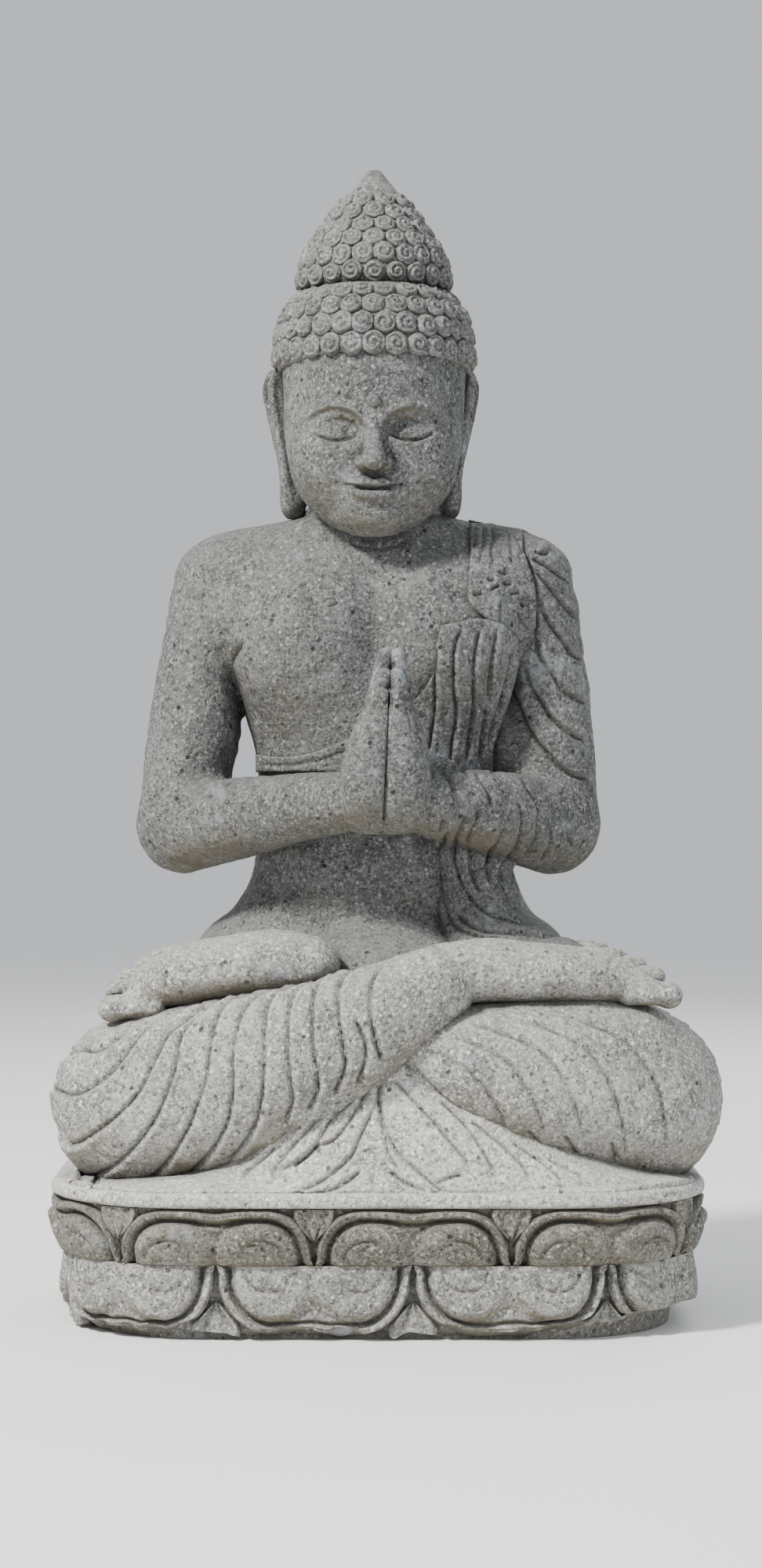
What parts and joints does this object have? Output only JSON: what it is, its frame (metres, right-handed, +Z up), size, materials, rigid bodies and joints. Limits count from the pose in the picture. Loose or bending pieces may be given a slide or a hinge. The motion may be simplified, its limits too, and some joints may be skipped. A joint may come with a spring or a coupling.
{
  "type": "buddha statue",
  "caption": "Carved stone figure seated cross-legged with hands pressed together, on a two-tier lotus seat; stands free as a garden or shrine statue.",
  "frame": {"origin": "centre of the bounding box at the underside of the lotus seat", "axes": "+Z up, the figure faces -Y, +X towards the figure's left hand side"},
  "size_m": [0.8415, 0.5918, 1.447],
  "materials": {
    "stone": "matte",
    "stone_pale": "matte",
    "stone_dark": "matte"
  },
  "bodies": {
    "statue": {"lower_tier": "stone_pale", "lower_petals": "stone_pale", "lower_petal_tips": "stone_pale", "upper_tier": "stone_pale", "upper_petals": "stone_pale", "upper_petal_tips": "stone_pale", "seat_slab": "stone_pale", "seat_cloth": "stone_pale", "hips": "stone", "right_leg": "stone_pale", "left_leg": "stone_pale", "right_foot": "stone_pale", "left_foot": "stone_pale", "abdomen": "stone", "chest": "stone", "neck": "stone", "robe_panel": "stone", "shoulder_fold": "stone", "sash": "stone", "right_upper_arm": "stone", "right_forearm": "stone", "right_hand": "stone", "left_upper_arm": "stone", "left_forearm": "stone", "left_hand": "stone", "sleeve_drape": "stone", "head": "stone", "urna": "stone", "right_ear": "stone", "left_ear": "stone", "hair_cap": "stone_dark", "hair_curls": "stone_dark", "ushnisha": "stone_dark", "ushnisha_curls": "stone_dark"}
  },
  "joints": []
}
